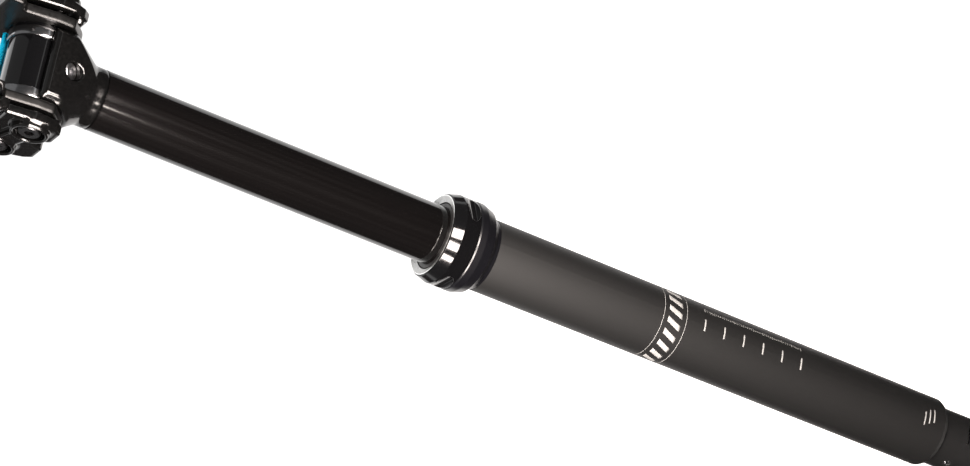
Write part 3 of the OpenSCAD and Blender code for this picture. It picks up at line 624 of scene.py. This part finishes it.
def reflect_only(sheet, name, colour):
    """Makes a sheet glow in one colour and hides it from all but reflections."""
    sheet.visible_camera = False
    sheet.visible_diffuse = False
    sheet.visible_transmission = False
    sheet.visible_shadow = False
    glow = bpy.data.materials.new(name)
    glow.use_nodes = True
    nodes, links = glow.node_tree.nodes, glow.node_tree.links
    nodes.clear()
    emission = nodes.new("ShaderNodeEmission")
    emission.inputs["Color"].default_value = (*colour, 1)
    out = nodes.new("ShaderNodeOutputMaterial")
    links.new(emission.outputs[0], out.inputs["Surface"])
    sheet.data.materials.append(glow)


# Each row of the card: its distance from the post and the turns at which it starts and ends.
card_rows = (
    (0.02, -142, 140), (0.15, -142, 140), (0.28, -136, 132), (0.43, -132, 128), (0.6, -130, 126),
    (0.75, -125, 122), (1.5, -125, 122), (1.6, -150, 150), (3.5, -150, 150),
)
card_gaps = len(card_rows) - 1
card_z = floor_z + 0.002
card_shape = bmesh.new()
card_grid = bmesh.ops.create_grid(card_shape, x_segments=48, y_segments=card_gaps, size=0.5)
for vert in card_grid["verts"]:
    reach, start, end = card_rows[round((vert.co.y + 0.5) * card_gaps)]
    vert.co = round_the_post(reach, start + (end - start) * (vert.co.x + 0.5), card_z)
card = place_piece("dark_card", card_shape)
reflect_only(card, "dark_felt", (0.06, 0.055, 0.055))

# White wall.
# A white sheet standing behind the post, seen in reflections only. It draws the bright lines along
# the rims and the rounded edges that face up.

wall_reach, wall_sweep = 1.6, 120
wall_middle_z, wall_height = 0.9, 1.3
wall_shape = bmesh.new()
wall_grid = bmesh.ops.create_grid(wall_shape, x_segments=32, y_segments=1, size=0.5)
for vert in wall_grid["verts"]:
    vert.co = round_the_post(
        wall_reach, 180 + wall_sweep * vert.co.x, wall_middle_z + wall_height * vert.co.y
    )
wall = place_piece("white_wall", wall_shape)
reflect_only(wall, "white_sheet", (0.8, 0.8, 0.8))

# Lamps.
# A window of three soft panes on the camera's side, a softbox behind, a broad one overhead and the
# dim light of the room.

scene = bpy.context.scene


def soft_lamp(name, place, aim, width, height, watts, colour):
    """A soft rectangular lamp, turned to face a point."""
    lamp = bpy.data.lights.new(name, "AREA")
    lamp.shape = "RECTANGLE"
    lamp.size = width
    lamp.size_y = height
    lamp.energy = watts
    lamp.color = colour
    holder = bpy.data.objects.new(name, lamp)
    holder.location = place
    holder.rotation_euler = (Vector(aim) - Vector(place)).to_track_quat("-Z", "Z").to_euler()
    holder.visible_camera = False
    scene.collection.objects.link(holder)


for pane, turn in enumerate((-44, -10, 24)):
    soft_lamp(
        "pane_%d" % pane, round_the_post(0.42, turn, 0.405), aim=(0, 0, 0.33),
        width=0.21, height=0.17, watts=5.8, colour=(1, 0.9, 0.84),
    )
soft_lamp(
    "back_fill", round_the_post(1.2, 180, 1.3), aim=(0, 0, 0.3),
    width=0.9, height=0.7, watts=4, colour=(1, 1, 1),
)
soft_lamp(
    "overhead", (-0.2, 0.1, 1.5), aim=(0, 0, 0.2),
    width=1.8, height=1.8, watts=2, colour=(1, 1, 1),
)
room = bpy.data.worlds.new("dim_room")
room.use_nodes = True
room.node_tree.nodes["Background"].inputs["Color"].default_value = (0.12, 0.12, 0.12, 1)
scene.world = room
scene.view_settings.view_transform = "Standard"

# Camera.
# A long lens above the front right of the post, rolled so that the post crosses the picture.

camera_reach, camera_height = 1.23374, 0.77409
camera_yaw, camera_tilt, camera_roll = 89.5976, 66.284, -68.0184
lens = bpy.data.cameras.new("long_lens")
lens.sensor_fit = "HORIZONTAL"
lens.sensor_width = 36
lens.lens = 121.08
camera = bpy.data.objects.new("camera", lens)
camera.matrix_world = (
    Matrix.Translation(round_the_post(camera_reach, 0, camera_height))
    @ Matrix.Rotation(camera_turn + math.radians(camera_yaw), 4, "Z")
    @ Matrix.Rotation(math.radians(camera_tilt), 4, "X")
    @ Matrix.Rotation(math.radians(camera_roll), 4, "Z")
)
scene.collection.objects.link(camera)
scene.camera = camera
